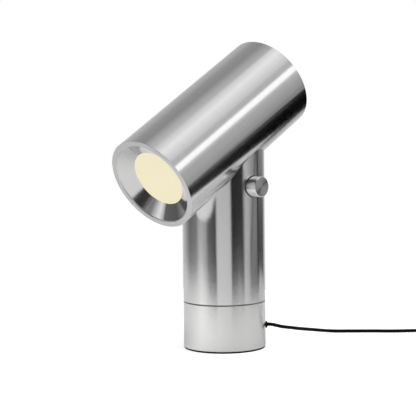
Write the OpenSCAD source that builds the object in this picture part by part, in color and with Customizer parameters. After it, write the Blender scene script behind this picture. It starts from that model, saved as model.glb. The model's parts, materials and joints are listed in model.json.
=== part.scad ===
// Tabletop searchlight lamp. A round base carries a column on a swivel, and the column's saddle
// carries a tilted drum head whose mouth holds a shallow cone and a lit disc.
// Millimetres. +Z is up, the origin is the middle of the foot on the table, the head looks to -Y
// and the dimmer knob is on +X.

/* [Base] */
// Outside diameter of the base and of the column
tube_d = 85; // [80:1:95]
// Wall of the base and of the column
tube_wall = 3; // [2.5:0.5:4]
// Height of the base's top face above the table
base_h = 48.5; // [46:0.5:60]
// Thickness of the base's top web
web_t = 5; // [4:0.5:6]
// Bevel on the edges of the base and of the column
edge_bevel = 0.4; // [0.2:0.1:0.8]
// Thickness of the foot pad
foot_t = 1.7; // [1:0.1:3]
// How far the foot pad lies inside the base's outline
foot_inset = 0.5; // [0.5:0.1:2]
// Thickness of the bottom plate
plate_t = 2; // [1.5:0.1:3]
// Height of the ballast ring
weight_h = 30; // [26:1:32]
// Diameter of the ballast ring's middle hole
weight_bore_d = 30; // [26:1:36]
// Gap between the ballast ring and the base's wall
weight_gap = 1.5; // [1.3:0.1:2]
// Diameter of the three screw pillars
pillar_d = 9; // [8:0.5:10]
// Distance from the wall's inside to the pillars' middle
pillar_inset = 5; // [5:0.1:5.5]
// Thread diameter of the bottom plate's screws
plate_screw_d = 4; // [3:0.5:4.5]
// Length of the bottom plate's screws
plate_screw_l = 12; // [8:1:16]

/* [Swivel] */
// Height of the dark seam between the base and the column
seam_gap = 0.7; // [0.5:0.1:1.5]
// Diameter of the hollow spindle
spindle_d = 12; // [11:0.5:14]
// Diameter of the spindle's bore
spindle_bore_d = 8.4; // [7:0.1:9]
// Diameter of the spindle's flange under the web
spindle_flange_d = 20; // [18:1:24]
// Thickness of the spindle's flange
spindle_flange_t = 4; // [3:0.5:5]
// How far the spindle stands above its nut
spindle_tail = 2; // [1:0.5:4]
// Diameter of the glide washer in the seam
glide_d = 70; // [60:1:74]
// Thickness of the swivel plate in the column's foot
swivel_plate_t = 7; // [6:0.5:9]
// Outside diameter of the friction disc and of the spring washer
friction_d = 24; // [20:1:26]
// Thickness of the friction disc
friction_t = 0.8; // [0.5:0.1:1.5]
// Thickness of the spring washer
spring_t = 0.8; // [0.5:0.1:1.2]
// Rise of the spring washer's cone
spring_rise = 0.8; // [0.4:0.1:1.2]
// Size of the lock nut across its flats
lock_nut_af = 18; // [17:0.5:20]
// Height of the lock nut
lock_nut_h = 6; // [4:0.5:8]
// Diameter of the stop pin
stop_pin_d = 4; // [3:0.5:5]
// Diameter of the circle that the stop pin stands on
stop_circle_d = 48; // [44:1:52]
// How far the stop pin reaches into the swivel plate
stop_reach = 3; // [2:0.5:4]
// Turn from the shown place to the clockwise stop, in degrees
turn_back = 200; // [180:5:200]
// Turn from the shown place to the other stop, in degrees
turn_on = 130; // [90:5:130]

/* [Column] */
// Height where the head's axis crosses the column's axis
axis_h = 232.5; // [230:0.5:250]
// Gap between the bridge's end tabs and the saddle's lowest point
bridge_gap = 3; // [2:0.5:8]
// Width of the bridge
bridge_w = 16; // [14:1:20]
// Thickness of the bridge
bridge_t = 6; // [4:0.5:8]
// Height of the bridge's end tabs
bridge_tab_h = 12; // [8:1:16]
// Thickness of the bridge's end tabs
bridge_tab_t = 2; // [1.5:0.5:3]
// Thread diameter of the tie bolt
tie_d = 6; // [5:0.5:8]
// Size of the tie bolt's head and nut across the flats
tie_af = 10; // [9:0.5:13]
// Height of the tie bolt's nut
tie_nut_h = 5; // [4:0.5:7]
// Height of the tie bolt's head
tie_head_h = 4; // [3:0.5:6]
// Diameter of the clamp block in the head
block_d = 28; // [24:1:30]
// Thickness of the clamp block at its middle
block_t = 12; // [10:0.5:16]

/* [Head] */
// Outside diameter of the head
head_d = 100; // [98:1:106]
// Wall of the head
head_wall = 3; // [2.5:0.5:4]
// Angle of the head's axis below the horizontal
head_tilt = 29.5; // [26:0.5:31]
// Length of the head in front of the crossing
head_front = 117; // [112:1:130]
// Length of the head behind the crossing
head_back = 80; // [76:1:95]
// Width of the flat lip round the mouth
lip_w = 5.4; // [5:0.1:6]
// Thickness of the lip
lip_t = 1.2; // [0.8:0.1:2]
// How much the mouth narrows through the lip's thickness
lip_taper = 0.7; // [0.4:0.1:1]
// How far the end cap lies inside the back of the head
cap_recess = 1.5; // [0.5:0.1:3]
// Thickness of the end cap
cap_t = 3; // [2:0.5:4]
// Length of the end cap's skirt
cap_skirt = 9; // [6:1:12]

/* [Light unit] */
// Depth of the lit disc behind the front of the head
reflector_depth = 11; // [9:0.5:13]
// Diameter of the lit disc that shows
window_d = 60; // [54:1:62]
// Thickness of the cone's metal
reflector_t = 1; // [0.8:0.1:1.5]
// Thickness of the diffuser's rim
diffuser_t = 2; // [1.5:0.1:3]
// How far the diffuser's rim reaches outside the window
diffuser_rim = 3; // [2:0.1:4]
// Height of the white spacer behind the diffuser
spacer_h = 6.4; // [5:0.1:8]
// Wall of the white spacer
spacer_wall = 2; // [1.5:0.1:2.5]
// Thickness of the light board
board_t = 1.6; // [1:0.1:2]
// Side of one light chip
chip_w = 2.8; // [2:0.1:3.5]
// Thickness of one light chip
chip_t = 0.6; // [0.4:0.1:1]
// Thickness of the heat sink's disc
sink_t = 6; // [5:0.5:8]
// Length of the heat sink's fins
fin_l = 34; // [26:1:38]
// Thickness of one fin
fin_t = 2; // [1.5:0.1:2.4]
// Distance from fin to fin
fin_pitch = 6; // [6:0.1:7]
// Width of the retaining clip's ring
clip_w = 4.5; // [4:0.1:5]
// Thickness of the retaining clip
clip_t = 1.5; // [1:0.1:2]
// Depth of the clip's groove in the head's wall
clip_groove = 1.2; // [1:0.1:1.4]

/* [Dimmer] */
// Diameter of the dimmer knob
knob_d = 20.7; // [19:0.1:22]
// How far the knob stands out of the column
knob_proud = 11.5; // [10:0.5:14]
// How far the knob's middle lies below the head's underside
knob_drop = 6.25; // [6:0.05:9]
// Dark gap round the knob in the column's wall
knob_gap = 0.5; // [0.4:0.1:0.8]
// Bevel round the knob's face
knob_bevel = 0.6; // [0.3:0.1:1]
// Metal left between the shaft's end and the knob's face
knob_face_t = 2.5; // [2:0.1:4]
// Diameter of the dimmer's shaft
shaft_d = 6; // [5:0.5:6.5]
// Diameter of the dimmer's body
pot_d = 16.5; // [15:0.1:17]
// Length of the dimmer's body
pot_l = 9; // [7:0.5:9]
// Diameter of the dimmer's threaded bush
bush_d = 9; // [8.5:0.1:10]
// Length of the bush in front of the dimmer's body
bush_l = 6; // [5.5:0.1:6.5]
// Height of the bush's nut
bush_nut_h = 2.2; // [1.5:0.1:2.5]
// Length of the dimmer's contact tags
tag_l = 6; // [4:0.5:7]
// Thickness of the dimmer's contact tags
tag_t = 0.6; // [0.4:0.1:0.8]

/* [Chassis and driver] */
// Distance of the upright chassis strip from the column's axis, as a share of the bore's radius
chassis_x_share = 0.785; // [0.76:0.005:0.81]
// Thickness of the chassis sheet
chassis_t = 2; // [1.5:0.1:2.5]
// Width of the chassis strip
chassis_w = 26; // [24:1:28]
// Gap between the chassis foot and the friction disc
chassis_gap = 3; // [2:0.5:5]
// Height of the strip above the dimmer's middle
chassis_top = 10.5; // [9:0.5:11]
// Thread diameter of the chassis screws
chassis_screw_d = 3; // [2.5:0.5:3.5]
// Width of the driver board
driver_w = 24; // [22:1:26]
// Height of the driver board, as a share of the room from its foot to the dimmer's tags
driver_h_share = 0.93; // [0.85:0.01:0.97]
// Gap between the driver board and the chassis
driver_gap = 4; // [3:0.5:5]
// Height of the driver board's foot above the spindle's top
driver_foot = 2; // [1:0.5:3]
// Thickness of the driver board
driver_t = 1.6; // [1:0.1:2]
// Diameter of the driver's coil
inductor_d = 12; // [10:0.5:14]
// Height of the driver's coil
inductor_h = 7; // [5:0.5:8]
// Diameter of the driver's capacitor
capacitor_d = 8; // [6:0.5:10]
// Height of the driver's capacitor
capacitor_h = 11; // [8:0.5:12]
// Size of the terminal blocks along the board
terminal_l = 10; // [8:0.5:12]
// Height of the terminal blocks off the board
terminal_h = 9; // [7:0.5:10]

/* [Lead] */
// Diameter of the lead
cord_d = 3.6; // [3.2:0.1:3.8]
// Direction in which the lead leaves the base, in degrees from +X
exit_angle = 55; // [50:1:60]
// Height of the lead where it leaves the base
exit_z = 21.5; // [18:0.5:26]
// Diameter of the bush's flange
flange_d = 7.4; // [7:0.1:9]
// How far the bush stands out of the base
flange_t = 2.75; // [2:0.05:4]
// Bevel of the flange's rim
flange_bevel = 0.8; // [0.4:0.1:1]
// Diameter of the bush's neck in the wall
neck_d = 5.8; // [5.2:0.1:6.4]
// Thickness of the bush's collar inside the wall
collar_t = 1.5; // [1:0.1:2]
// Diameter of the leads to the light board
wire_d = 2.4; // [2:0.1:2.8]

/* [Power adapter] */
// Length of the adapter's housing along the lead
adapter_l = 62; // [56:1:70]
// Depth of the adapter's housing along its pins
adapter_w = 38; // [34:1:44]
// Radius of the housing's upright corners
adapter_round = 5; // [3:0.5:8]
// Diameter of the adapter's contact pins
contact_d = 4; // [4:0.1:4.8]
// Length of the contact pins
contact_l = 19; // [17:0.5:19]
// Distance between the contact pins
contact_pitch = 18.6; // [17:0.1:19.2]
// Length of the tapered strain relief
relief_l = 20; // [16:1:26]
// Diameter of the strain relief at the housing
relief_d = 8; // [7:0.5:10]

/* [Hidden] */
$fn = 96;

// Clearance of pieces that are pushed or screwed into each other
push_fit = 0.05;
// Clearance of pieces that turn in each other, on the radius
run_fit = 0.05;
// Clearance round pieces that only pass each other
pass_gap = 0.3;
// How far cuts run past the faces that they cut
over = 2;

// Levels and radii of the base and the swivel, from the table up
tube_r = tube_d / 2;
bore_r = tube_r - tube_wall;
plate_top = foot_t + plate_t;
web_z = base_h - web_t;
pillar_r = bore_r - pillar_inset;
pillar_angles = [for (i = [0:2]) exit_angle + 60 + 120 * i];
column_z = base_h + seam_gap;
swivel_top = column_z + swivel_plate_t;
spring_z = swivel_top + friction_t;
lock_nut_z = spring_z + spring_t + spring_rise;
spindle_top = lock_nut_z + lock_nut_h + spindle_tail;
stop_angle = exit_angle + 180;
spindle_r = spindle_d / 2;
stop_r = stop_circle_d / 2;
slot_r = stop_pin_d / 2 + pass_gap;
spindle_z = web_z - spindle_flange_t;
spindle_h = spindle_top - spindle_z;

// Radii and stations of the head, measured along its own axis from the crossing
head_r = head_d / 2;
head_bore_r = head_r - head_wall;
lip_z = head_front - lip_t;
mouth_r = head_r - lip_w - lip_taper;
window_z = head_front - reflector_depth;
diffuser_z = window_z - reflector_t - diffuser_t;
board_z = diffuser_z - spacer_h - board_t;
board_r = window_d / 2 + diffuser_rim;
sink_z = board_z - sink_t;
sink_r = head_bore_r - push_fit;
fin_z = sink_z - fin_l;
fin_r = head_bore_r - clip_w - pass_gap;
clip_z = sink_z - clip_t;
cap_z = -head_back + cap_recess;

// The tie bolt's stack, from the bridge up to the head's inside
belly_z = axis_h - head_r / cos(head_tilt);
bridge_z = belly_z - tube_r * tan(head_tilt) - bridge_gap - bridge_tab_h;
belly_top = axis_h - head_bore_r / cos(head_tilt);
block_top = belly_top + block_t;

// The dimmer and the driver, from the column's axis outwards
knob_r = knob_d / 2;
knob_z = belly_z - knob_drop;
knob_face_x = tube_r + knob_proud;
chassis_x = bore_r * chassis_x_share;
chassis_face = chassis_x + chassis_t;
chassis_foot = chassis_face - friction_d / 2 - chassis_gap;
knob_back_x = chassis_face + bush_nut_h + pass_gap * 3;
pot_x = chassis_x - pot_l;
driver_x = chassis_x - driver_gap - driver_t;
driver_z = spindle_top + driver_foot;
driver_h = (knob_z - pot_d / 2 - tag_l - driver_z) * driver_h_share;
shaft_x = pot_x + chassis_t;
shaft_end_x = knob_face_x - knob_face_t;
chassis_screw_y = chassis_w / 4;
chassis_screw_x = chassis_face - chassis_foot / 2;
chassis_screw_in = swivel_plate_t - stop_reach - 3 * pass_gap;
terminal_in_z = driver_z + terminal_l;
board_gap = (driver_z + driver_h - terminal_in_z - terminal_l * 3 / 2 - inductor_d) / 3;
inductor_z = terminal_in_z + terminal_l / 2 + board_gap + inductor_d / 2;
terminal_out_z = driver_z + driver_h - board_gap - terminal_l / 2;
inductor_y = driver_w / 2 - inductor_d / 2 - pass_gap * 3;
capacitor_y = driver_w / 2 - capacitor_d / 2 - pass_gap * 3;

// The lead's route: straight out of the bush, down to the table and on to the coil
cord_r = cord_d / 2;
exit_r = tube_r + flange_t;
bush_start = bore_r - pass_gap - collar_t;
cord_points = [
    [25.95, 37.07, 21.5], [27.1, 38.7, 21.5], [29.4, 42, 20.9], [31.5, 45.3, 19.9],
    [33.5, 49.5, 18.6], [34.8, 54.5, 17.4], [35.4, 60.5, 16.2], [35.2, 67, 14.9],
    [34.6, 74, 13.4], [33.8, 81.5, 11.9], [32.8, 89.5, 10.4], [31.8, 97.5, 8.9],
    [30.9, 105.5, 7.4], [30.3, 113.5, 5.9], [30.2, 121, 4.5], [31.2, 128.5, 3.3],
    [33.6, 135.5, 2.4], [37.5, 142, 1.9], [42.5, 147.5, 1.8], [48.5, 152.7, 1.8],
    [54.7, 158.2, 1.8], [61.3, 164.2, 1.8], [68.8, 170.6, 1.8], [77.4, 177.3, 1.8],
    [85.5, 184.8, 1.8], [92.6, 193, 1.8], [98.5, 199.8, 1.8], [104.6, 206.1, 2],
    [110.5, 211.8, 2.4], [116.2, 217.3, 2.6], [122, 222.9, 2.6]
];

// The coil: piled layers that spiral in and out again by one step a turn
coil_start = cord_points[len(cord_points) - 1];
coil_angle = 44;
coil_turns = 11.25;
coil_layer_turns = 3;
coil_turn_gap = 0.55;
coil_step = cord_d + coil_turn_gap;
coil_middle_share = 5.95;
coil_middle_r = cord_d * coil_middle_share;
coil_rings = 24;
coil_sides = 6;
coil_out_r = coil_middle_r + coil_step * coil_layer_turns / 2;
coil_lead = cord_d;
coil_tail = 14;
tie_t = 0.8;
tie_w = 6;
tie_gap = 0.4;

// Distance of the coil's turn from the coil's middle, after t turns
function coil_r(t) = let (phase = t % (2 * coil_layer_turns))
    coil_out_r - coil_step * (phase < coil_layer_turns ? phase : 2 * coil_layer_turns - phase);
// Height of the coil's turn above its first layer: each climb takes half a turn
function coil_rise(t) = let (
    layer = round(t / coil_layer_turns),
    past = t - layer * coil_layer_turns,
    climb = layer == 0 ? 1 : max(0, min(1, 2 * past + 1 / 2))
) coil_step * (layer == 0 ? 0 : layer - 1 + climb);
coil_loops = [for (i = [0:coil_turns * coil_rings]) let (
    t = i / coil_rings,
    r = coil_r(t),
    a = 360 * t
) [r * sin(a), coil_out_r - r * cos(a), coil_rise(t)]];
coil_end = coil_loops[len(coil_loops) - 1];
coil_points = concat(
    [[-coil_lead, 0, 0]],
    coil_loops,
    [coil_end + [0, coil_lead, 0], coil_end + [0, coil_tail, 0]]
);
coil_gap = min([for (i = [0:len(coil_loops) - 1]) for (j = [i + coil_rings / 2:len(coil_loops) - 1])
    norm(coil_loops[i] - coil_loops[j])]) - cord_d;
adapter_h = 2 * (coil_start[2] + coil_end[2]);

function unit(v) = v / norm(v);
// Direction of a route at its point i
function heading(pts, i) = i == 0 ? unit(pts[1] - pts[0])
    : i == len(pts) - 1 ? unit(pts[i] - pts[i - 1])
    : unit(unit(pts[i + 1] - pts[i]) + unit(pts[i] - pts[i - 1]));
// Ring of points round a route's point, with flats below and above when side is upright
function ring(pts, i, side, r, n) = let (
    t = heading(pts, i),
    u = unit(cross(side, t)),
    v = cross(t, u)
) [for (k = [0:n - 1]) let (
    a = 360 * k / n + (n % 4 == 0 ? 180 / n : 0)
) pts[i] + r * (cos(a) * u + sin(a) * v)];
// Length of a route
function route_length(pts, i = 0) = i >= len(pts) - 1 ? 0
    : norm(pts[i + 1] - pts[i]) + route_length(pts, i + 1);
// Point of the head's own frame, in the lamp's frame
function from_head(p) = [
    p[0],
    -p[1] * sin(head_tilt) - p[2] * cos(head_tilt),
    axis_h + p[1] * cos(head_tilt) - p[2] * sin(head_tilt)
];

echo("least gap between the coil's turns, mm", coil_gap);
echo("length of the lead outside the base, mm",
    route_length(cord_points) + route_length(coil_points));

// Round tube along a route, as one closed skin of triangles
module tube_along(pts, r, n, side = [0, 0, 1]) {
    rings = len(pts);
    skin = [for (i = [0:rings - 1]) each ring(pts, i, side, r, n)];
    sides = [for (i = [0:rings - 2]) for (k = [0:n - 1]) let (
        a = i * n + k,
        b = i * n + (k + 1) % n
    ) each [[a, a + n, b + n], [a, b + n, b]]];
    last = (rings - 1) * n;
    caps = [for (k = [1:n - 2]) each [[0, k, k + 1], [last, last + k + 1, last + k]]];
    polyhedron(points = skin, faces = concat(sides, caps));
}

// Places its children in the head's frame, whose +Z looks out of the mouth
module in_head() {
    translate([0, 0, axis_h]) rotate([90 + head_tilt, 0, 0]) children();
}

// Places its children on the lead's exit, +Z pointing out of the base
module at_exit() {
    rotate([0, 0, exit_angle]) translate([0, 0, exit_z]) rotate([0, 90, 0]) children();
}

// Places its children on the dimmer's axis, +Z pointing out of the column
module at_knob() {
    translate([0, 0, knob_z]) rotate([0, 90, 0]) children();
}

// Places its children in the coil's frame, where the lead comes in along +X
module at_coil() {
    translate(coil_start) rotate([0, 0, coil_angle]) translate([coil_lead, 0, 0]) children();
}

// Ring between two radii, standing on z
module collar(r_in, r_out, z, h) {
    translate([0, 0, z]) difference() {
        cylinder(r = r_out, h = h);
        translate([0, 0, -over]) cylinder(r = r_in, h = h + 2 * over);
    }
}

// Rod with bevelled ends, standing on z
module bevelled_rod(r, z, h, low, high) {
    translate([0, 0, z]) rotate_extrude() polygon([
        [0, 0], [r - low, 0], [r, low], [r, h - high], [r - high, h], [0, h]
    ]);
}

// Hexagon by its size across the flats, standing on z
module hexagon(across, z, h) {
    translate([0, 0, z]) cylinder(r = across / sqrt(3), h = h, $fn = 6);
}

// Rectangle with round corners
module round_rectangle(size, r) {
    translate([r, 0]) square([size[0] - 2 * r, size[1]]);
    translate([0, r]) square([size[0], size[1] - 2 * r]);
    for (x = [r, size[0] - r]) for (y = [r, size[1] - r]) translate([x, y]) circle(r = r, $fn = 48);
}

// Base

module base_shell() {
    color("silver") difference() {
        union() {
            difference() {
                bevelled_rod(tube_r, foot_t, base_h - foot_t, edge_bevel, edge_bevel);
                translate([0, 0, foot_t - over]) cylinder(r = bore_r, h = web_z - foot_t + over);
            }
            for (a = pillar_angles) rotate([0, 0, a]) translate([pillar_r, 0, plate_top])
                cylinder(d = pillar_d, h = web_z - plate_top + web_t / 2, $fn = 48);
        }
        translate([0, 0, web_z - over]) cylinder(r = spindle_r + push_fit, h = web_t + 2 * over);
        for (a = pillar_angles) rotate([0, 0, a]) translate([pillar_r, 0, plate_top - over])
            cylinder(d = plate_screw_d + 2 * push_fit, h = plate_screw_l + over, $fn = 48);
        rotate([0, 0, stop_angle]) translate([stop_r, 0, web_z - over])
            cylinder(d = stop_pin_d + 2 * push_fit, h = web_t + 2 * over, $fn = 48);
        at_exit() translate([0, 0, bore_r - over])
            cylinder(d = neck_d + 2 * push_fit, h = tube_wall + 2 * over);
    }
}

// Ballast ring with notches for the pillars and an open channel for the lead
module base_weight() {
    channel = flange_d + 2 * pass_gap;
    color("dimgray") difference() {
        collar(weight_bore_d / 2, bore_r - weight_gap, plate_top, weight_h);
        for (a = pillar_angles) rotate([0, 0, a]) translate([pillar_r, 0, plate_top - over])
            cylinder(d = pillar_d + 2 * pass_gap, h = weight_h + 2 * over, $fn = 48);
        rotate([0, 0, exit_angle]) translate([0, -channel / 2, exit_z - channel / 2])
            cube([tube_r, channel, weight_h]);
    }
}

module bottom_plate() {
    color("gainsboro") difference() {
        translate([0, 0, foot_t]) cylinder(r = bore_r - push_fit, h = plate_t);
        for (a = pillar_angles) rotate([0, 0, a]) translate([pillar_r, 0, foot_t])
            screw_shape(push_fit, over);
    }
}

// Countersunk screw with its head down, grown by a clearance and run on past its ends
module screw_shape(gap, run_on) {
    r = plate_screw_d / 2;
    rotate_extrude($fn = 48) polygon([
        [0, -run_on], [2 * r + gap, -run_on], [2 * r + gap, 0], [r + gap, r],
        [r + gap, plate_screw_l + run_on], [0, plate_screw_l + run_on]
    ]);
}

module plate_screw(i) {
    color("silver") rotate([0, 0, pillar_angles[i]]) translate([pillar_r, 0, foot_t]) screw_shape(0, 0);
}

module foot_pad() {
    color("black") bevelled_rod(tube_r - foot_inset, 0, foot_t, edge_bevel, 0);
}

// Snap-in bush moulded on the lead: collar inside the wall, neck in it, bevelled flange outside
module cord_bush() {
    r = flange_d / 2;
    neck_r = neck_d / 2;
    color("black") at_exit() rotate_extrude($fn = 48) polygon([
        [0, bush_start], [r, bush_start], [r, bush_start + collar_t], [neck_r, bush_start + collar_t],
        [neck_r, tube_r], [r, tube_r], [r, exit_r - flange_bevel], [r - flange_bevel, exit_r], [0, exit_r]
    ]);
}

module base_lead() {
    out = [cos(exit_angle), sin(exit_angle), 0];
    bend = weight_bore_d / 2;
    arc = [for (a = [0:15:90]) out * (bend - bend * sin(a)) + [0, 0, exit_z + bend - bend * cos(a)]];
    color("black") tube_along(
        concat([out * bush_start + [0, 0, exit_z]], arc, [[0, 0, spindle_top]]),
        cord_r, 8, [-out[1], out[0], 0]
    );
}

// Swivel

module spindle() {
    color("gray") difference() {
        union() {
            translate([0, 0, spindle_z]) cylinder(d = spindle_flange_d, h = spindle_flange_t);
            bevelled_rod(spindle_r, spindle_z, spindle_h, 0, edge_bevel);
        }
        translate([0, 0, spindle_z - over]) cylinder(d = spindle_bore_d, h = spindle_h + 2 * over);
    }
}

module stop_pin() {
    color("gray") rotate([0, 0, stop_angle]) translate([stop_r, 0, 0])
        bevelled_rod(stop_pin_d / 2, web_z, column_z + stop_reach - web_z, 0, edge_bevel);
}

module glide_washer() {
    color("ivory") difference() {
        collar(spindle_r + pass_gap, glide_d / 2, base_h, seam_gap);
        rotate([0, 0, stop_angle]) translate([stop_r, 0, base_h - over])
            cylinder(r = slot_r, h = seam_gap + 2 * over, $fn = 48);
    }
}

module friction_disc() {
    color("saddlebrown") collar(spindle_r + pass_gap, friction_d / 2, swivel_top, friction_t);
}

module spring_washer() {
    r = friction_d / 2;
    hole = spindle_r + pass_gap;
    color("dimgray") translate([0, 0, spring_z]) rotate_extrude() polygon([
        [hole, spring_rise], [r, 0], [r, spring_t], [hole, spring_rise + spring_t]
    ]);
}

module lock_nut() {
    color("silver") difference() {
        hexagon(lock_nut_af, lock_nut_z, lock_nut_h);
        translate([0, 0, lock_nut_z - over]) cylinder(r = spindle_r + push_fit, h = lock_nut_h + 2 * over);
    }
}

// The stop slot in the plate's underside ends half a pin past each end of the travel
module swivel_plate() {
    slot_end = asin(slot_r / stop_r);
    low = stop_angle - turn_on - slot_end;
    travel = turn_on + turn_back + 2 * slot_end;
    depth = stop_reach + pass_gap;
    color("lightgray") difference() {
        translate([0, 0, column_z]) cylinder(r = bore_r - push_fit, h = swivel_plate_t);
        translate([0, 0, column_z - over]) cylinder(r = spindle_r + run_fit, h = swivel_plate_t + 2 * over);
        translate([0, 0, column_z - over]) rotate([0, 0, low]) rotate_extrude(angle = travel)
            translate([stop_r - slot_r, 0]) square([2 * slot_r, depth + over]);
        for (side = [-1, 1])
            translate([chassis_screw_x, side * chassis_screw_y, swivel_top - chassis_screw_in])
                cylinder(d = chassis_screw_d + 2 * push_fit, h = chassis_screw_in + over, $fn = 48);
    }
}

// Column

// Tube whose top is a saddle, cut by the tilted drum that lies in it
module column_tube() {
    color("silver") difference() {
        bevelled_rod(tube_r, column_z, axis_h - column_z, edge_bevel, edge_bevel);
        translate([0, 0, column_z - over]) cylinder(r = bore_r, h = axis_h - column_z + 2 * over);
        in_head() translate([0, 0, -head_back - tube_r])
            cylinder(r = head_r + push_fit, h = head_front + head_back + 2 * tube_r);
        at_knob() cylinder(r = knob_r + knob_gap, h = tube_d);
    }
}

// Cross bar with upright end tabs that follow the column's inside
module column_bridge() {
    color("lightgray") difference() {
        intersection() {
            union() {
                translate([-bridge_w / 2, -tube_r, bridge_z]) cube([bridge_w, tube_d, bridge_t]);
                for (side = [-1, 1])
                    translate([-bridge_w / 2, side * (bore_r - bridge_tab_t) - bridge_tab_t, bridge_z])
                        cube([bridge_w, 2 * bridge_tab_t, bridge_tab_h]);
            }
            translate([0, 0, bridge_z - over]) cylinder(r = bore_r - push_fit, h = bridge_tab_h + 2 * over);
        }
        translate([0, 0, bridge_z - over]) cylinder(d = tie_d + 2 * push_fit, h = bridge_t + 2 * over);
    }
}

module tie_bolt() {
    low = bridge_z - tie_nut_h - 4 * edge_bevel;
    color("silver") {
        bevelled_rod(tie_d / 2, low, block_top - low + tie_head_h / 2, edge_bevel, 0);
        hexagon(tie_af, block_top, tie_head_h);
    }
}

module tie_nut() {
    color("silver") difference() {
        hexagon(tie_af, bridge_z - tie_nut_h, tie_nut_h);
        translate([0, 0, bridge_z - tie_nut_h - over])
            cylinder(d = tie_d + 2 * push_fit, h = tie_nut_h + 2 * over);
    }
}

// Round block, flat on top, whose underside follows the inside of the drum
module clamp_block() {
    low = belly_z - block_d;
    color("lightgray") difference() {
        intersection() {
            translate([0, 0, low]) cylinder(d = block_d, h = block_top - low);
            in_head() translate([0, 0, -head_back])
                cylinder(r = head_bore_r - push_fit, h = head_front + head_back);
        }
        translate([0, 0, low]) cylinder(d = tie_d + 2 * push_fit, h = block_top - low + over);
    }
}

// Chassis, dimmer and driver

// Sheet with a foot on the swivel plate, an upright for the dimmer, and posts for the driver board
module chassis() {
    color("lightgray") difference() {
        union() {
            translate([chassis_face - chassis_foot, -chassis_w / 2, swivel_top])
                cube([chassis_foot, chassis_w, chassis_t]);
            translate([chassis_x, -chassis_w / 2, swivel_top])
                cube([chassis_t, chassis_w, knob_z + chassis_top - swivel_top]);
            for (y = [-1, 1]) for (z = [driver_gap, driver_h - driver_gap])
                translate([driver_x + driver_t, y * (driver_w / 2 - driver_gap), driver_z + z])
                    rotate([0, 90, 0]) cylinder(d = driver_gap, h = driver_gap + chassis_t / 2, $fn = 32);
        }
        for (side = [-1, 1]) translate([chassis_screw_x, side * chassis_screw_y, swivel_top - over])
            cylinder(d = chassis_screw_d + 2 * push_fit, h = chassis_t + 2 * over, $fn = 48);
        at_knob() translate([0, 0, chassis_x - over])
            cylinder(d = bush_d + 2 * push_fit, h = chassis_t + 2 * over);
    }
}

module chassis_screw(side) {
    color("silver") translate([chassis_screw_x, side * chassis_screw_y, 0]) {
        translate([0, 0, swivel_top - chassis_screw_in])
            cylinder(d = chassis_screw_d, h = chassis_screw_in + chassis_t + edge_bevel, $fn = 48);
        bevelled_rod(chassis_screw_d, swivel_top + chassis_t, chassis_t, 0, edge_bevel);
    }
}

module dimmer_body() {
    color("darkslategray") difference() {
        union() {
            at_knob() translate([0, 0, pot_x]) cylinder(d = pot_d, h = pot_l);
            at_knob() translate([0, 0, pot_x]) cylinder(d = bush_d, h = pot_l + bush_l);
            for (y = [-1, 0, 1])
                translate([pot_x + pot_l / 2, y * pot_d / 4 - tag_t, knob_z - pot_d / 2 - tag_l])
                    cube([tag_t, 2 * tag_t, tag_l + pot_d / 4]);
        }
        at_knob() translate([0, 0, shaft_x - pass_gap])
            cylinder(d = shaft_d + 2 * run_fit, h = pot_l + bush_l + over);
    }
}

module dimmer_nut() {
    color("silver") at_knob() difference() {
        hexagon(bush_d + 2 * bush_nut_h / sqrt(3), chassis_face, bush_nut_h);
        translate([0, 0, chassis_face - over])
            cylinder(d = bush_d + 2 * push_fit, h = bush_nut_h + 2 * over);
    }
}

module driver_board() {
    color("seagreen") translate([driver_x, -driver_w / 2, driver_z]) cube([driver_t, driver_w, driver_h]);
}

// Round part that stands on the driver board, towards the column's axis
module on_board(d, h, y) {
    translate([driver_x - h, y, inductor_z]) rotate([0, 90, 0]) cylinder(d = d, h = h, $fn = 48);
}

module driver_inductor() {
    color("dimgray") on_board(inductor_d, inductor_h, -inductor_y);
}

module driver_capacitor() {
    color("navy") on_board(capacitor_d, capacitor_h, capacitor_y);
}

module terminal(z) {
    color("limegreen") translate([driver_x - terminal_h, -terminal_l / 2, z - terminal_l / 2])
        cube([terminal_h, terminal_l, terminal_l]);
}

module column_lead() {
    bend = terminal_in_z - spindle_top - spindle_tail;
    arc = [for (a = [0:15:90]) [bend - bend * cos(a), 0, spindle_top + spindle_tail + bend * sin(a)]];
    color("black") tube_along(
        concat([[0, 0, spindle_top]], arc, [[driver_x - terminal_h, 0, terminal_in_z]]),
        wire_d / 2, 8, [0, 1, 0]
    );
}

// Way of the light board's lead: back through the heat sink, down through the head's belly
function head_lead_points() = let (
    drop = wire_d * 3,
    y = -board_r + drop,
    side = block_d / 2 + wire_d,
    hole = [side, -side, belly_z - side * tan(head_tilt) + head_wall]
) [
    from_head([0, y, board_z]),
    from_head([0, y, sink_z]),
    from_head([0, y, (sink_z + fin_z) / 2]),
    from_head([0, y, fin_z - wire_d]),
    from_head([wire_d, y, fin_z - 3 * wire_d]),
    hole + [-wire_d * 2, -wire_d / 2, wire_d * 6],
    hole + [-wire_d / 2, 0, wire_d * 4],
    hole + [0, 0, wire_d * 2],
    hole + [0, 0, -wire_d * 2],
    hole + [wire_d / 4, wire_d / 2, -wire_d * 4],
    [driver_x - terminal_h / 2, -terminal_l / 4, terminal_out_z + terminal_l / 2 + wire_d * 2],
    [driver_x - terminal_h / 2, -terminal_l / 4, terminal_out_z + terminal_l / 2]
];

module head_lead() {
    color("white") tube_along(head_lead_points(), wire_d / 2, 8, [1, 0, 0]);
}

// Head

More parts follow.
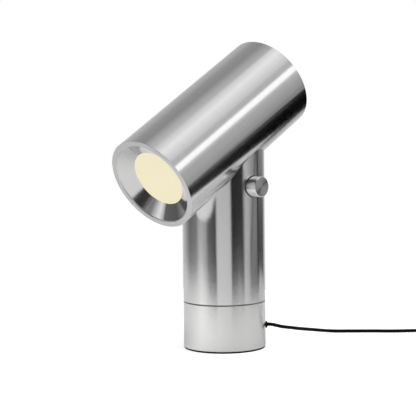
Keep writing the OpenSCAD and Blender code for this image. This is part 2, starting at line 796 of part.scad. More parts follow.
// Drum with a flat lip at the mouth, a groove for the retaining clip and two holes over the column
module head_tube() {
    hole = head_lead_points()[8];
    lip_slope = lip_taper / lip_t;
    color("silver") difference() {
        in_head() difference() {
            bevelled_rod(head_r, -head_back, head_front + head_back, edge_bevel, edge_bevel / 2);
            translate([0, 0, -head_back - over]) cylinder(r = head_bore_r, h = lip_z + head_back + over);
            translate([0, 0, lip_z - over]) cylinder(
                r1 = mouth_r - lip_slope * over,
                r2 = mouth_r + lip_slope * (lip_t + over),
                h = lip_t + 2 * over
            );
            translate([0, 0, clip_z - push_fit])
                cylinder(r = head_bore_r + clip_groove, h = clip_t + 2 * push_fit);
        }
        translate([0, 0, belly_z - over]) cylinder(d = tie_d + 2 * pass_gap, h = head_r);
        translate([hole[0], hole[1], hole[2] - head_r / 2])
            cylinder(d = wire_d + 4 * pass_gap, h = head_r);
    }
}

// Shallow cone whose flange lies behind the lip
module reflector() {
    t = reflector_t;
    window_r = window_d / 2;
    color("whitesmoke") in_head() rotate_extrude() polygon([
        [window_r, window_z], [mouth_r, lip_z], [sink_r, lip_z], [sink_r, lip_z - t],
        [mouth_r + t / 2, lip_z - t], [window_r + 2 * t, window_z - t], [window_r, window_z - t]
    ]);
}

module diffuser() {
    color("lightyellow") in_head() {
        translate([0, 0, diffuser_z]) cylinder(r = board_r, h = diffuser_t);
        translate([0, 0, diffuser_z]) cylinder(r = window_d / 2 - push_fit, h = diffuser_t + reflector_t);
    }
}

module diffuser_spacer() {
    color("white") in_head() collar(board_r - spacer_wall, board_r, diffuser_z - spacer_h, spacer_h);
}

module light_board() {
    color("white") in_head() translate([0, 0, board_z]) cylinder(r = board_r, h = board_t);
}

module light_chips() {
    rows = [1, 6, 12];
    color("yellow") in_head() for (i = [0:2]) for (k = [0:rows[i] - 1])
        rotate([0, 0, 360 * k / rows[i]])
            translate([i * (board_r - spacer_wall) / 3 - chip_w / 2, -chip_w / 2, board_z + board_t])
                cube([chip_w, chip_w, chip_t]);
}

// Sleeve that holds the cone's flange against the lip, from the heat sink
module sink_sleeve() {
    color("lightgray") in_head()
        collar(mouth_r + reflector_t, sink_r, board_z, lip_z - reflector_t - board_z);
}

// Parallel fins behind a disc, the middle gap left open for the lead
module heat_sink() {
    count = floor(fin_r / fin_pitch);
    color("lightslategray") in_head() difference() {
        union() {
            translate([0, 0, sink_z]) cylinder(r = sink_r, h = sink_t);
            intersection() {
                translate([0, 0, fin_z]) cylinder(r = fin_r, h = fin_l + sink_t / 2);
                for (i = [-count:count - 1])
                    translate([(i + 1 / 2) * fin_pitch - fin_t / 2, -fin_r, fin_z])
                        cube([fin_t, 2 * fin_r, fin_l + sink_t / 2]);
            }
        }
        translate([0, -board_r + wire_d * 3, sink_z - over])
            cylinder(d = wire_d + 2 * pass_gap, h = sink_t + 2 * over, $fn = 48);
    }
}

// Retaining clip, a ring with an open stretch at its lowest point
module sink_clip() {
    r = head_bore_r + clip_groove - push_fit;
    gap = clip_w * 3;
    color("dimgray") in_head() difference() {
        collar(head_bore_r - clip_w, r, clip_z, clip_t);
        translate([-gap / 2, -head_r - over, clip_z - over]) cube([gap, head_r, clip_t + 2 * over]);
    }
}

module end_cap() {
    color("silver") in_head() difference() {
        bevelled_rod(sink_r, cap_z, cap_t + cap_skirt, edge_bevel, edge_bevel);
        translate([0, 0, cap_z + cap_t]) cylinder(r = sink_r - head_wall, h = cap_skirt + over);
    }
}

// Knob

// Turned knob, bored for the shaft and hollowed round the dimmer's bush
module dimmer_knob() {
    color("silver") at_knob() difference() {
        bevelled_rod(knob_r, knob_back_x, knob_face_x - knob_back_x, knob_bevel, knob_bevel);
        translate([0, 0, knob_back_x - over])
            cylinder(d = shaft_d + 2 * push_fit, h = shaft_end_x - knob_back_x + over);
        translate([0, 0, knob_back_x - over]) cylinder(d = bush_d + shaft_d / 2, h = bush_l + over);
    }
}

module dimmer_shaft() {
    color("gray") at_knob() bevelled_rod(shaft_d / 2, shaft_x, shaft_end_x - shaft_x, edge_bevel, edge_bevel);
}

// Lead and power adapter

module cord() {
    color("black") tube_along(cord_points, cord_r, 8);
}

module cord_coil() {
    color("black") at_coil() tube_along(coil_points, cord_r, coil_sides);
}

// Flat band round the whole bundle, where the lead crosses it squarely
module coil_tie() {
    in_r = coil_out_r - coil_step * coil_layer_turns - cord_r - tie_gap * 2;
    out_r = coil_out_r + cord_r + tie_gap;
    high = coil_end[2] + cord_d + tie_gap * 2;
    wide = out_r - in_r;
    color("dimgray") at_coil() translate([0, coil_out_r, -coil_start[2]]) rotate([90, 0, 180])
        translate([in_r - tie_t, 0, -tie_w / 2]) linear_extrude(tie_w) difference() {
            round_rectangle([wide + 2 * tie_t, high + 2 * tie_t], cord_r);
            translate([tie_t, tie_t]) round_rectangle([wide, high], cord_r - tie_t);
        }
}

// Places its children at the end of the lead, +X pointing on along it, at the table's height
module at_adapter() {
    at_coil() translate([coil_end[0], coil_end[1] + coil_tail, -coil_start[2]]) rotate([0, 0, 90]) children();
}

module adapter_relief() {
    color("black") at_adapter() translate([0, 0, adapter_h / 2]) rotate([0, 90, 0])
        rotate_extrude($fn = 48) polygon([
            [0, 0], [cord_r + tie_t, 0], [relief_d / 2, relief_l], [0, relief_l]
        ]);
}

module power_adapter() {
    color("black") at_adapter() translate([relief_l, -adapter_w / 2, 0])
        linear_extrude(adapter_h) round_rectangle([adapter_l, adapter_w], adapter_round);
}

module contact_pin(i) {
    x = relief_l + adapter_l - adapter_round - contact_d;
    color("gainsboro") at_adapter() translate([x - i * contact_pitch, adapter_w / 2, adapter_h / 2])
        rotate([-90, 0, 0]) bevelled_rod(contact_d / 2, 0, contact_l, 0, edge_bevel * 2);
}

base_shell();
base_weight();
bottom_plate();
foot_pad();
plate_screw(0);  // plate_screw_1
plate_screw(1);  // plate_screw_2
plate_screw(2);  // plate_screw_3
cord_bush();
base_lead();
spindle();
stop_pin();
glide_washer();
friction_disc();
spring_washer();
lock_nut();
cord();
cord_coil();
coil_tie();
adapter_relief();
power_adapter();
contact_pin(0);  // contact_pin_1
contact_pin(1);  // contact_pin_2
swivel_plate();
column_tube();
column_bridge();
tie_bolt();
tie_nut();
clamp_block();
chassis();
chassis_screw(-1);  // chassis_screw_1
chassis_screw(1);  // chassis_screw_2
dimmer_body();
dimmer_nut();
driver_board();
driver_inductor();
driver_capacitor();
terminal(terminal_in_z);  // terminal_in
terminal(terminal_out_z);  // terminal_out
column_lead();
head_lead();
head_tube();
reflector();
diffuser();
diffuser_spacer();
light_board();
light_chips();
sink_sleeve();
heat_sink();
sink_clip();
end_cap();
dimmer_knob();
dimmer_shaft();
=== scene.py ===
import json
import math

import bpy
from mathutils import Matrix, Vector


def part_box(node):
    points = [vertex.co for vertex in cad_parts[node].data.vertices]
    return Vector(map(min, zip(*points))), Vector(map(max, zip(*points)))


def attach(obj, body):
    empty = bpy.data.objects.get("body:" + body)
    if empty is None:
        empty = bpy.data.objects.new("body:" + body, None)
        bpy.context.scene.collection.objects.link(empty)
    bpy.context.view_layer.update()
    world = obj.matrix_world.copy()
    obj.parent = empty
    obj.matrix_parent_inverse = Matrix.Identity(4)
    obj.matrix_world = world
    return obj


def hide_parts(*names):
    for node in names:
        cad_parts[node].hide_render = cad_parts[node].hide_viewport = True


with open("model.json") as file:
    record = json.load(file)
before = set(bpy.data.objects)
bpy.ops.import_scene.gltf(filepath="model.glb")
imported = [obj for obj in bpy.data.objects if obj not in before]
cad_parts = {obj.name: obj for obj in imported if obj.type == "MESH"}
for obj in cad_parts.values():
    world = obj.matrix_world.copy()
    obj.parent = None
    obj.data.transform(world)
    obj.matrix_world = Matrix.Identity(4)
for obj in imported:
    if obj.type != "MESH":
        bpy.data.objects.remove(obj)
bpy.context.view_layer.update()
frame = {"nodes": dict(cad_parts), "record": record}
parts = frame["nodes"]

# Sizes of the lamp are in millimetres, as in the part's source, and this turns them into metres
MM = 0.001

bpy.context.scene.view_settings.view_transform = "Standard"

# Sizes and places that the part's source gives
CROSSING = (0, 0, 232.5)
HEAD_TILT = 29.5
HEAD_AXIS = (0, -math.cos(math.radians(HEAD_TILT)), -math.sin(math.radians(HEAD_TILT)))
COLUMN_R = 42.5
KNOB_R = 10.35
KNOB_PROUD = 11.5
KNOB_CENTRE = (COLUMN_R, 0, 168.8)
KNOB_FACE = (COLUMN_R + KNOB_PROUD, 0, 168.8)


# Camera, at the height and distance from which the photograph was taken

camera = bpy.data.objects.new("camera", bpy.data.cameras.new("camera"))
bpy.context.scene.collection.objects.link(camera)
camera.location = (1.082745, -1.125717, 0.285679)
camera.rotation_euler = [math.radians(turn) for turn in (84.8417, 0.6354, 44.4106)]
camera.data.sensor_width = 36
camera.data.lens = 131.6
bpy.context.scene.camera = camera
CAMERA_SIDE = math.degrees(math.atan2(camera.location.y, camera.location.x))


# Lead: its route over the table and its coil, the same points as in the part's source

LEAD_D = 3.6
LEAD_ROUTE = [
    (25.95, 37.07, 21.5), (27.1, 38.7, 21.5), (29.4, 42, 20.9), (31.5, 45.3, 19.9),
    (33.5, 49.5, 18.6), (34.8, 54.5, 17.4), (35.4, 60.5, 16.2), (35.2, 67, 14.9),
    (34.6, 74, 13.4), (33.8, 81.5, 11.9), (32.8, 89.5, 10.4), (31.8, 97.5, 8.9),
    (30.9, 105.5, 7.4), (30.3, 113.5, 5.9), (30.2, 121, 4.5), (31.2, 128.5, 3.3),
    (33.6, 135.5, 2.4), (37.5, 142, 1.9), (42.5, 147.5, 1.8), (48.5, 152.7, 1.8),
    (54.7, 158.2, 1.8), (61.3, 164.2, 1.8), (68.8, 170.6, 1.8), (77.4, 177.3, 1.8),
    (85.5, 184.8, 1.8), (92.6, 193, 1.8), (98.5, 199.8, 1.8), (104.6, 206.1, 2),
    (110.5, 211.8, 2.4), (116.2, 217.3, 2.6), (122, 222.9, 2.6),
]
COIL_TURN = 44
COIL_TURNS = 11.25
LAYER_TURNS = 3
CLIMB_TURNS = 0.5
TURN_GAP = 0.55
COIL_MIDDLE_SHARE = 5.95
COIL_TAIL = 14
POINTS_A_TURN = 24
STEP = LEAD_D + TURN_GAP
OUTER_R = LEAD_D * COIL_MIDDLE_SHARE + STEP * LAYER_TURNS / 2


def coil_radius(turns):
    """Distance from the coil's middle: in by one step a turn for one layer, out again for the next."""
    phase = turns % (2 * LAYER_TURNS)
    return OUTER_R - STEP * min(phase, 2 * LAYER_TURNS - phase)


def coil_height(turns):
    """Height above the first layer: the lead climbs to the next layer within half a turn."""
    layer = math.floor(turns / LAYER_TURNS + 0.5)
    if layer == 0:
        return 0
    climb = min(1, max(0, (turns - layer * LAYER_TURNS) / CLIMB_TURNS + 0.5))
    return STEP * (layer - 1 + climb)


def lead_points():
    """The lead from the bush to the adapter's strain relief."""
    start = Vector(LEAD_ROUTE[-1])
    turn = math.radians(COIL_TURN)
    points = []
    for i in range(int(COIL_TURNS * POINTS_A_TURN) + 1):
        turns = i / POINTS_A_TURN
        r, a = coil_radius(turns), 2 * math.pi * turns
        points.append((r * math.sin(a), OUTER_R - r * math.cos(a), coil_height(turns)))
    x, y, z = points[-1]
    points += [(x, y + LEAD_D, z), (x, y + COIL_TAIL, z)]
    coil = []
    for x, y, z in points:
        x += LEAD_D
        coil.append(start + Vector((
            x * math.cos(turn) - y * math.sin(turn),
            x * math.sin(turn) + y * math.cos(turn),
            z,
        )))
    return [Vector(p) for p in LEAD_ROUTE] + coil


def make_lead():
    """The lead as one smooth round curve, which takes the place of the solid lead and its coil."""
    points = lead_points()
    curve = bpy.data.curves.new("lead", "CURVE")
    curve.dimensions = "3D"
    curve.bevel_depth = 1
    curve.bevel_resolution = 4
    curve.resolution_u = 3
    curve.use_fill_caps = True
    spline = curve.splines.new("BEZIER")
    spline.bezier_points.add(len(points) - 1)
    for place, point in zip(spline.bezier_points, points):
        place.co = point * MM
        place.radius = LEAD_D / 2 * MM
        place.handle_left_type = place.handle_right_type = "AUTO"
    lead = bpy.data.objects.new("lead", curve)
    bpy.context.scene.collection.objects.link(lead)
    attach(lead, "base")
    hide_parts("cord", "cord_coil")
    return lead


lead = make_lead()


# Materials

# Range in which most values of a noise texture lie
NOISE_SPAN = {"From Min": 0.3, "From Max": 0.7}
# How far a pattern's dark and light parts differ from the material's own roughness
GRAIN_SHINE = 0.15
CLOUD_SHINE = 0.2
LINE_SHINE = 0.1
# Slant of the lines' pattern, so that it differs from one side of a tube to the other
LINE_SLANT = Vector((1.7, 1.3, 0.9))
# How squarely a surface looks along the axis, from 0 to 1, where a bevel and where a face sets in
BEVEL_SPAN = {"From Min": 0.3, "From Max": 0.5}
FACE_SPAN = {"From Min": 0.6, "From Max": 0.8}
ACRYLIC_CLOUD = 18
PLASTIC_IOR = 1.49


def linear(code):
    """Linear colour of an sRGB hex value."""
    tones = [int(code[i:i + 2], 16) / 255 for i in (1, 3, 5)]
    return [t / 12.92 if t <= 0.04045 else ((t + 0.055) / 1.055) ** 2.4 for t in tones] + [1]


def add(tree, kind, sockets=(), **settings):
    """Adds one node with its settings; a socket takes a value or another node's output."""
    made = tree.nodes.new(kind)
    for name, value in settings.items():
        setattr(made, name, value)
    for name, value in dict(sockets).items():
        if isinstance(value, bpy.types.NodeSocket):
            tree.links.new(value, made.inputs[name])
        else:
            made.inputs[name].default_value = value
    return made


def new_material(name):
    """An empty material and its node tree, with the surface shader that its makers fill in."""
    material = bpy.data.materials.new(name)
    material.use_nodes = True
    tree = material.node_tree
    tree.nodes.clear()
    surface = add(tree, "ShaderNodeBsdfPrincipled")
    add(tree, "ShaderNodeOutputMaterial", {"Surface": surface.outputs["BSDF"]})
    return material, tree, surface


def moulded(name, dark, light, roughness, grain_mm, depth_mm, gloss=0.5):
    """Plastic or rubber from a mould, a die or a press: one colour, with the tool's grain in its shine."""
    material, tree, surface = new_material(name)
    noise = add(tree, "ShaderNodeTexNoise", {
        "Vector": add(tree, "ShaderNodeTexCoord").outputs["Object"],
        "Scale": 1 / (grain_mm * MM), "Detail": 3, "Roughness": 0.6,
    })
    grain = add(tree, "ShaderNodeMapRange", {**NOISE_SPAN, "Value": noise.outputs["Fac"]})
    grain = grain.outputs["Result"]
    colour = add(tree, "ShaderNodeMix", {
        0: grain, 6: linear(dark), 7: linear(light)
    }, data_type="RGBA")
    shine = add(tree, "ShaderNodeMapRange", {
        "Value": grain,
        "To Min": roughness * (1 - GRAIN_SHINE), "To Max": roughness * (1 + GRAIN_SHINE),
    })
    relief = add(tree, "ShaderNodeBump", {"Height": grain, "Distance": depth_mm * MM})
    surface.inputs["IOR"].default_value = PLASTIC_IOR
    surface.inputs["Specular IOR Level"].default_value = gloss
    tree.links.new(colour.outputs[2], surface.inputs["Base Color"])
    tree.links.new(shine.outputs["Result"], surface.inputs["Roughness"])
    tree.links.new(relief.outputs["Normal"], surface.inputs["Normal"])
    return material


def rolled(name, dark, light, roughness, cloud_mm):
    """Metal left as the mill, the bath or the sand gave it: cloudy patches in its shine."""
    material, tree, surface = new_material(name)
    noise = add(tree, "ShaderNodeTexNoise", {
        "Vector": add(tree, "ShaderNodeTexCoord").outputs["Object"],
        "Scale": 1 / (cloud_mm * MM), "Detail": 5, "Roughness": 0.65,
    })
    cloud = add(tree, "ShaderNodeMapRange", {**NOISE_SPAN, "Value": noise.outputs["Fac"]})
    cloud = cloud.outputs["Result"]
    colour = add(tree, "ShaderNodeMix", {
        0: cloud, 6: linear(dark), 7: linear(light)
    }, data_type="RGBA")
    shine = add(tree, "ShaderNodeMapRange", {
        "Value": cloud,
        "To Min": roughness * (1 - CLOUD_SHINE), "To Max": roughness * (1 + CLOUD_SHINE),
    })
    surface.inputs["Metallic"].default_value = 1
    tree.links.new(colour.outputs[2], surface.inputs["Base Color"])
    tree.links.new(shine.outputs["Result"], surface.inputs["Roughness"])
    return material


def turned(name, dark, light, face, roughness, bevel_roughness, face_roughness, spread,
           line_mm, depth_mm, streaks, centre, axis):
    """Metal with fine lines round an axis, from a lathe or a brush held against the turning tube.
    The lines draw each reflection out across them, so bands run along a tube and rays cross a face.
    A face or a bevel that a tool cut across the axis has its own tone and shine."""
    material, tree, surface = new_material(name)
    coordinates = add(tree, "ShaderNodeTexCoord")
    # Place on the lathe: how far along the axis, how far out from it, and on which side
    from_centre = add(tree, "ShaderNodeVectorMath", {
        0: coordinates.outputs["Object"], 1: Vector(centre) * MM
    }, operation="SUBTRACT").outputs["Vector"]
    along = add(tree, "ShaderNodeVectorMath", {
        0: from_centre, 1: axis
    }, operation="DOT_PRODUCT").outputs["Value"]
    foot = add(tree, "ShaderNodeVectorMath", {
        0: axis, "Scale": along
    }, operation="SCALE").outputs["Vector"]
    outward = add(tree, "ShaderNodeVectorMath", {
        0: from_centre, 1: foot
    }, operation="SUBTRACT").outputs["Vector"]
    radius = add(tree, "ShaderNodeVectorMath", {0: outward}, operation="LENGTH").outputs["Value"]
    direction = add(tree, "ShaderNodeVectorMath", {0: outward}, operation="NORMALIZE").outputs["Vector"]
    side = add(tree, "ShaderNodeVectorMath", {
        0: direction, 1: LINE_SLANT * streaks
    }, operation="DOT_PRODUCT").outputs["Value"]
    # The shader stretches a reflection across the lines, on the surface
    line = add(tree, "ShaderNodeVectorMath", {
        0: axis, 1: direction
    }, operation="CROSS_PRODUCT").outputs["Vector"]
    across = add(tree, "ShaderNodeVectorMath", {
        0: line, 1: coordinates.outputs["Normal"]
    }, operation="CROSS_PRODUCT").outputs["Vector"]
    across = add(tree, "ShaderNodeVectorTransform", {
        "Vector": across
    }, vector_type="VECTOR", convert_from="OBJECT", convert_to="WORLD").outputs["Vector"]
    # Lines: noise that changes fast along and outward, and slowly round the axis
    lines_per_m = 1 / (line_mm * MM)
    along_lines = add(tree, "ShaderNodeMath", {
        0: along, 1: lines_per_m
    }, operation="MULTIPLY").outputs["Value"]
    outward_lines = add(tree, "ShaderNodeMath", {
        0: radius, 1: lines_per_m
    }, operation="MULTIPLY").outputs["Value"]
    place = add(tree, "ShaderNodeCombineXYZ", {"X": along_lines, "Y": outward_lines, "Z": side})
    noise = add(tree, "ShaderNodeTexNoise", {
        "Vector": place.outputs["Vector"], "Scale": 1, "Detail": 4, "Roughness": 0.7
    })
    lines = add(tree, "ShaderNodeMapRange", {**NOISE_SPAN, "Value": noise.outputs["Fac"]})
    lines = lines.outputs["Result"]
    # How squarely the surface looks along the axis
    facing = add(tree, "ShaderNodeVectorMath", {
        0: coordinates.outputs["Normal"], 1: axis
    }, operation="DOT_PRODUCT").outputs["Value"]
    facing = add(tree, "ShaderNodeMath", {0: facing}, operation="ABSOLUTE").outputs["Value"]
    on_bevel = add(tree, "ShaderNodeMapRange", {**BEVEL_SPAN, "Value": facing}).outputs["Result"]
    on_face = add(tree, "ShaderNodeMapRange", {**FACE_SPAN, "Value": facing}).outputs["Result"]
    colour = add(tree, "ShaderNodeMix", {
        0: lines, 6: linear(dark), 7: linear(light)
    }, data_type="RGBA")
    colour = add(tree, "ShaderNodeMix", {
        0: on_face, 6: colour.outputs[2], 7: linear(face)
    }, data_type="RGBA")
    shine = add(tree, "ShaderNodeMapRange", {
        "Value": lines,
        "To Min": roughness * (1 - LINE_SHINE), "To Max": roughness * (1 + LINE_SHINE),
    })
    shine = add(tree, "ShaderNodeMapRange", {
        "Value": on_bevel, "To Min": shine.outputs["Result"], "To Max": bevel_roughness
    })
    shine = add(tree, "ShaderNodeMapRange", {
        "Value": on_face, "To Min": shine.outputs["Result"], "To Max": face_roughness
    })
    relief = add(tree, "ShaderNodeBump", {"Height": lines, "Distance": depth_mm * MM})
    surface.inputs["Metallic"].default_value = 1
    surface.inputs["Anisotropic"].default_value = spread
    tree.links.new(across, surface.inputs["Tangent"])
    tree.links.new(colour.outputs[2], surface.inputs["Base Color"])
    tree.links.new(shine.outputs["Result"], surface.inputs["Roughness"])
    tree.links.new(relief.outputs["Normal"], surface.inputs["Normal"])
    return material


def lit_opal():
    """Opal acrylic in front of the light chips: white itself, with an even cream glow from behind.
    The metal beside it shows a painted reflection of the glow, nearly white."""
    material, tree, surface = new_material("lit_opal_acrylic")
    cloud = add(tree, "ShaderNodeTexNoise", {
        "Vector": add(tree, "ShaderNodeTexCoord").outputs["Object"],
        "Scale": 1 / (ACRYLIC_CLOUD * MM), "Detail": 1,
    }).outputs["Fac"]
    glow = add(tree, "ShaderNodeMix", {
        0: cloud, 6: linear("#F4E6B4"), 7: linear("#F8EDC0")
    }, data_type="RGBA").outputs[2]
    # Painted reflection: glossy rays see the glow nearly white instead of cream
    glow = add(tree, "ShaderNodeMix", {
        0: add(tree, "ShaderNodeLightPath").outputs["Is Glossy Ray"], 6: glow, 7: linear("#ECECEC")
    }, data_type="RGBA").outputs[2]
    surface.inputs["Base Color"].default_value = linear("#B9B9B4")
    surface.inputs["Emission Strength"].default_value = 0.66
    tree.links.new(glow, surface.inputs["Emission Color"])
    surface.inputs["Roughness"].default_value = 0.5
    surface.inputs["IOR"].default_value = PLASTIC_IOR
    return material


# A pixel of the picture is about 1 mm on the lamp. Real brush lines and tool marks, about 0.1 mm apart,
# would not show, so line_mm draws them six to nine times as coarse. The grain of a mould, a die or a press,
# from 0.05 to 0.2 mm, is drawn coarser in the same way by grain_mm. The clouds of cloud_mm, a few
# millimetres wide, are near their real size.

# What both tubes share: a satin wall that draws light out along it, and ends and lips cut across on
# the lathe, which are darker and duller
TUBE = dict(face="#C4C4C4", roughness=0.165, bevel_roughness=0.5, face_roughness=0.3, spread=0.65,
            line_mm=0.9)

FINISHES = {
    # Brushed round the turning tube, then anodised satin: bands of light that run up the tube,
    # crisp at their sides, with the brush's short streaks in them
    "brushed_aluminium": turned(
        "satin_anodised_aluminium_tube", "#DCDCDC", "#E9E9E9", depth_mm=0.012, streaks=12,
        centre=(0, 0, 0), axis=(0, 0, 1), **TUBE,
    ),
    # Faced on the lathe and anodised: soft rays of light from the middle of the cap
    "turned_cap": turned(
        "turned_aluminium_cap", "#DADADA", "#E4E4E4", face="#DFDFDF", roughness=0.2,
        bevel_roughness=0.24, face_roughness=0.24, spread=0.75, line_mm=0.8, depth_mm=0.001,
        streaks=1, centre=CROSSING, axis=HEAD_AXIS,
    ),
    # Turned from bar with a fine tool: bright bands along its wall, a bright bevel, rays across its face
    "turned_knob": turned(
        "turned_aluminium_knob", "#DEDEDE", "#E6E6E6", face="#E8E8E8", roughness=0.19,
        bevel_roughness=0.17, face_roughness=0.2, spread=1, line_mm=0.6, depth_mm=0.0005,
        streaks=1, centre=KNOB_CENTRE, axis=(1, 0, 0),
    ),
    # Spun over a former and brightened: nearly a mirror, with light and dark wedges round the cone
    "polished_cone": turned(
        "bright_spun_aluminium", "#C1C1C1", "#C9C9C9", face="#C5C5C5", roughness=0.11,
        bevel_roughness=0.11, face_roughness=0.11, spread=0.7, line_mm=0.8, depth_mm=0.0005,
        streaks=1, centre=CROSSING, axis=HEAD_AXIS,
    ),
    # Left as the mill rolled it: soft pale grey with cloudy patches
    "mill_aluminium": rolled("mill_finish_aluminium", "#BFC0C2", "#D6D7D8", 0.36, cloud_mm=6),
    # Plated with zinc in a barrel: pale blue-grey, faintly clouded
    "plain_steel": rolled("zinc_plated_steel", "#A5A8AB", "#C4C7CA", 0.3, cloud_mm=5),
    # Tempered until it blues: dark blue-grey with a soft shine
    "spring_steel": rolled("blued_spring_steel", "#3A3D44", "#565A62", 0.34, cloud_mm=4),
    # Brass under a layer of nickel: a warm silver with clear reflections
    "contact_metal": rolled("nickel_plated_brass", "#C9C6BE", "#E0DDD6", 0.16, cloud_mm=3),
    # Cast in sand under a thin coat: dark and dull, with the sand's unevenness
    "cast_ballast": rolled("painted_cast_iron", "#2B2B2D", "#3E3E40", 0.6, cloud_mm=2),
    # Cast in a sheet: no hot spot, only an even glow
    "lit_diffuser": lit_opal(),
    # Moulded nylon: a clean white with a soft shine
    "white_plastic": moulded("white_nylon", "#E6E5E0", "#F0EFEA", 0.45, grain_mm=0.8, depth_mm=0.004),
    # Solder mask flowed over a board: smooth, with a low gloss
    "white_board": moulded("white_solder_mask", "#E2E3E0", "#EEEFEC", 0.35, grain_mm=1.5, depth_mm=0.002),
    # Phosphor in resin, poured over the chips: a strong yellow with a low gloss
    "light_chip": moulded("phosphor_resin", "#E3C84A", "#F0D968", 0.4, grain_mm=0.5, depth_mm=0.004),
    # Cut from sheet rubber: a deep black that hardly shines
    "black_rubber": moulded(
        "black_rubber_sheet", "#0B0B0B", "#121212", 0.75, grain_mm=0.6, depth_mm=0.005, gloss=0.05
    ),
    # Moulded nylon with a fine grain: black with a faint sheen
    "black_bush": moulded(
        "black_nylon", "#0D0D0D", "#141414", 0.5, grain_mm=0.6, depth_mm=0.003, gloss=0.06
    ),
    # Drawn through a die round its wires: smooth black with a faint line of light along it
    "black_lead": moulded(
        "black_pvc_jacket", "#0B0B0B", "#121212", 0.5, grain_mm=1.2, depth_mm=0.002, gloss=0.06
    ),
    # Silicone drawn through a die: a dull white
    "white_lead": moulded("white_silicone_jacket", "#DCDCD8", "#E8E8E4", 0.5, grain_mm=1, depth_mm=0.004),
    # Soft PVC drawn as a band: nearly black, with a dull shine
    "tie_plastic": moulded("black_soft_pvc", "#171717", "#202020", 0.5, grain_mm=0.6, depth_mm=0.005),
    # ABS from an etched mould: a fine grain that breaks up its shine
    "adapter_plastic": moulded(
        "black_textured_abs", "#161617", "#202021", 0.48, grain_mm=0.7, depth_mm=0.012
    ),
    # Acetal, cut from sheet: dense and dark, with a waxy sheen
    "glide_plastic": moulded("dark_acetal", "#1B1B1C", "#242425", 0.35, grain_mm=1, depth_mm=0.002),
    # Fibre pressed into sheet: brown, flecked and matt
    "fibre_disc": moulded("pressed_fibre", "#6E3A22", "#84492C", 0.75, grain_mm=0.7, depth_mm=0.02),
    # Phenolic moulded hot: dark, with a dull gloss
    "dark_plastic": moulded("dark_phenolic", "#222327", "#2C2D31", 0.45, grain_mm=0.8, depth_mm=0.005),
    # Solder mask flowed over a board: deep green with a low gloss
    "green_board": moulded("green_solder_mask", "#0F4A2A", "#175C36", 0.35, grain_mm=1.5, depth_mm=0.003),
    # Powder pressed and fired: charcoal, grainy and dull
    "ferrite": moulded("sintered_ferrite", "#2E2E2F", "#3B3B3C", 0.65, grain_mm=0.5, depth_mm=0.01),
    # A sleeve shrunk on with heat: tight, smooth and glossy
    "capacitor_sleeve": moulded(
        "blue_shrink_sleeve", "#1B2148", "#232A56", 0.3, grain_mm=2, depth_mm=0.002
    ),
    # Moulded nylon: green with a soft shine
    "terminal_plastic": moulded("green_nylon", "#1F6A3A", "#278048", 0.45, grain_mm=0.8, depth_mm=0.005),
}
# The head's drum is brushed with a finer pad than the column: the same bands, without streaks
DRUM_FINISH = turned(
    "satin_anodised_aluminium_drum", "#DFDFDF", "#E7E7E7", depth_mm=0.0005, streaks=1,
    centre=CROSSING, axis=HEAD_AXIS, **TUBE,
)


def dress(piece, material):
    piece.data.materials.clear()
    piece.data.materials.append(material)


for row in frame["record"]["subparts"]:
    dress(parts[row["node"]], FINISHES[row["material_slot"]])
dress(parts["head_tube"], DRUM_FINISH)
dress(lead, FINISHES["black_lead"])


def add_mesh(name, corners, faces):
    """A piece from its corners, in metres, and its faces."""
    mesh = bpy.data.meshes.new(name)
    mesh.from_pydata(corners, [], faces)
    piece = bpy.data.objects.new(name, mesh)
    bpy.context.scene.collection.objects.link(piece)
    return piece


# Black ring in the gap round the knob, which shows there as a crisp dark line: painted shade, a dark piece
# put where the gap holds only shade

# Its section: how far out from the knob's wall, and how far up from the column's surface
RING_SECTION = [
    (0.1, -1.2), (0.1, 0.2), (0.25, 0.3), (0.5, 0.3), (0.68, 0.2), (0.72, -0.1), (0.4, -0.1), (0.4, -1.2),
]
RING_STEPS = 96


def make_knob_shade_ring():
    """A thin ring that lies on the column's curve, with a rounded rim, and reaches into the gap: painted
    shade for the gap.
    """
    corners, faces = [], []
    for i in range(RING_STEPS):
        a = 2 * math.pi * i / RING_STEPS
        for out, up in RING_SECTION:
            y, z = (KNOB_R + out) * math.cos(a), (KNOB_R + out) * math.sin(a)
            x = math.sqrt(COLUMN_R ** 2 - y ** 2) + up
            corners.append((x * MM, y * MM, (KNOB_CENTRE[2] + z) * MM))
    count = len(RING_SECTION)
    for i in range(RING_STEPS):
        here, there = i * count, (i + 1) % RING_STEPS * count
        for j in range(count):
            after = (j + 1) % count
            faces.append((here + j, here + after, there + after, there + j))
    ring = add_mesh("knob_shade_ring", corners, faces)
    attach(ring, "column")
    # Painted shade: the ring takes the black nylon to stand for the shade in the gap
    dress(ring, FINISHES["black_bush"])


make_knob_shade_ring()


# Studio: a white table, and round it the walls, flags and lights that the metal shows.
# Its distances are in metres, its turns and heights in degrees, and its turns start at the camera's side.

# Turn and distance of the table's corners
TABLE_CORNERS = [(-63, 0.626), (0, 0.391), (43, 0.5), (128, 0.57), (-131.8, 0.75)]
# Glow that lifts the table to the room's white for the camera
TABLE_WHITE = 0.57
# Painted pool of light in front of the head, where the lamp's own light would fall, and its weaker painted
# spill beside the lamp, which only the metal sees
POOL_TURN = -54
POOL_GLOW = 0.31
POOL_FALL = 3
SPILL_GLOW = 0.07

